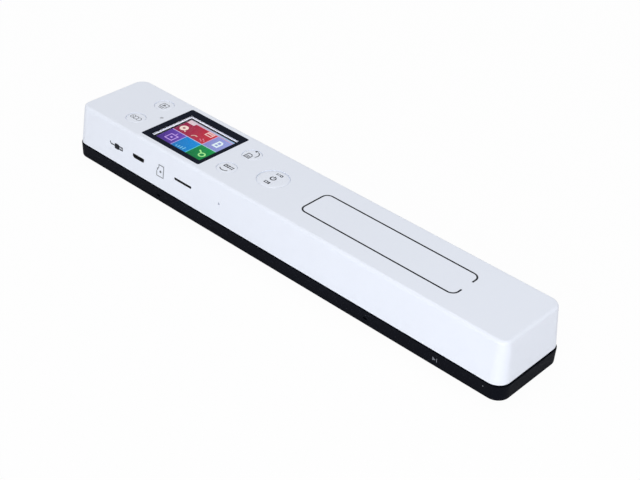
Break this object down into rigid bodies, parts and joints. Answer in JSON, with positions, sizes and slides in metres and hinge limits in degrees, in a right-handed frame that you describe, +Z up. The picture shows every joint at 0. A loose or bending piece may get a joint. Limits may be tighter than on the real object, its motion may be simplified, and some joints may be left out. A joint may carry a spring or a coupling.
{
  "type": "handheld scanner",
  "caption": "Slim battery-powered wand scanner with a colour display, push buttons, USB and card sockets, and rubber rollers that carry its glass over a page.",
  "frame": {"origin": "on the table, level with the rollers' treads, under the middle of the scanner's length and width", "axes": "+X along the scanner away from the display, +Y towards the rear side, +Z up; the sockets are on the -Y side"},
  "size_m": [0.257, 0.042, 0.028],
  "materials": {
    "white_shell": "smooth satin moulding",
    "white_button": "smooth satin moulding",
    "white_frame": "plain moulding",
    "black_base": "fine satin moulding",
    "black_component": "moulded component case",
    "black_plunger": "smooth moulding",
    "display_window": "clear polished sheet with a black printed border",
    "display_panel": "lit colour display",
    "circuit_board": "green solder resist",
    "plated_steel": "bright plated sheet",
    "status_lamp": "moulded lamp",
    "light_pipe": "clear moulded acrylic",
    "battery_foil": "laminated foil pouch",
    "foam_pad": "adhesive foam",
    "red_lead": "flexible sleeve",
    "black_lead": "flexible sleeve",
    "sensor_housing": "glass-filled moulding",
    "scan_glass": "polished float glass",
    "lens_array": "dark rod lens block",
    "ribbon_film": "amber film",
    "pale_nylon": "natural nylon moulding",
    "axle_steel": "ground rod",
    "screw_steel": "dark plated screw",
    "gear_brass": "cut gear",
    "roller_rubber": "ground rubber tread"
  },
  "bodies": {
    "housing": {"top_housing": "white_shell", "base_housing": "black_base", "display_window": "display_window", "display_panel": "display_panel", "display_frame": "white_frame", "main_board": "circuit_board", "processor": "black_component", "usb_socket_shell": "plated_steel", "usb_socket_tongue": "black_component", "card_socket_cover": "plated_steel", "card_socket_base": "black_component", "reset_switch": "black_component", "power_switch": "black_component", "resolution_switch": "black_component", "file_format_switch": "black_component", "colour_mode_switch": "black_component", "playback_switch": "black_component", "status_light_pipe": "light_pipe", "status_lamp": "status_lamp", "battery": "battery_foil", "battery_pad": "foam_pad", "battery_lead_positive": "red_lead", "battery_lead_negative": "black_lead", "sensor_housing": "sensor_housing", "sensor_glass": "scan_glass", "light_guide": "light_pipe", "rod_lens_array": "lens_array", "sensor_board": "circuit_board", "sensor_ribbon": "ribbon_film", "ribbon_connector": "pale_nylon", "front_axle_left_bushing": "pale_nylon", "front_axle_right_bushing": "pale_nylon", "rear_axle_left_bushing": "pale_nylon", "rear_axle_right_bushing": "pale_nylon", "photo_interrupter": "black_component", "case_screw_left_front": "screw_steel", "case_screw_left_rear": "screw_steel", "case_screw_right_front": "screw_steel", "case_screw_right_rear": "screw_steel", "board_screw_left": "screw_steel", "board_screw_right": "screw_steel"},
    "front_axle": {"front_axle_shaft": "axle_steel", "front_axle_left_roller": "roller_rubber", "front_axle_right_roller": "roller_rubber", "drive_gear": "gear_brass"},
    "rear_axle": {"rear_axle_shaft": "axle_steel", "rear_axle_left_roller": "roller_rubber", "rear_axle_right_roller": "roller_rubber"},
    "encoder": {"encoder_wheel": "pale_nylon"},
    "power_key": {"power_button": "white_button", "power_plunger": "black_plunger"},
    "resolution_key": {"resolution_button": "white_button", "resolution_plunger": "black_plunger"},
    "file_format_key": {"file_format_button": "white_button", "file_format_plunger": "black_plunger"},
    "colour_mode_key": {"colour_mode_button": "white_button", "colour_mode_plunger": "black_plunger"},
    "playback_key": {"playback_button": "white_button", "playback_plunger": "black_plunger"},
    "reset_key": {"reset_plunger": "black_plunger"}
  },
  "joints": [
    {"name": "front_axle_spin", "type": "hinge", "parent": "housing", "child": "front_axle", "pos_m": [0, -0.0133, 0.00478], "axis": [1, 0, 0], "continuous": true},
    {"name": "rear_axle_spin", "type": "hinge", "parent": "housing", "child": "rear_axle", "pos_m": [0, 0.0133, 0.00478], "axis": [1, 0, 0], "continuous": true},
    {"name": "encoder_spin", "type": "hinge", "parent": "housing", "child": "encoder", "pos_m": [-0.0221, -0.0133, 0.0113], "axis": [1, 0, 0], "continuous": true},
    {"name": "power_press", "type": "slide", "parent": "housing", "child": "power_key", "axis": [0, 0, -1], "range_m": [0, 0.0004], "stiffness_N_per_m": 4000},
    {"name": "resolution_press", "type": "slide", "parent": "housing", "child": "resolution_key", "axis": [0, 0, -1], "range_m": [0, 0.0004], "stiffness_N_per_m": 4000},
    {"name": "file_format_press", "type": "slide", "parent": "housing", "child": "file_format_key", "axis": [0, 0, -1], "range_m": [0, 0.0004], "stiffness_N_per_m": 4000},
    {"name": "colour_mode_press", "type": "slide", "parent": "housing", "child": "colour_mode_key", "axis": [0, 0, -1], "range_m": [0, 0.0004], "stiffness_N_per_m": 4000},
    {"name": "playback_press", "type": "slide", "parent": "housing", "child": "playback_key", "axis": [0, 0, -1], "range_m": [0, 0.0004], "stiffness_N_per_m": 4000},
    {"name": "reset_press", "type": "slide", "parent": "housing", "child": "reset_key", "axis": [0, 1, 0], "range_m": [0, 0.00025], "stiffness_N_per_m": 4000}
  ],
  "couplings": [
    {"joint": "encoder_spin", "follows": "front_axle_spin", "ratio": -0.6}
  ]
}
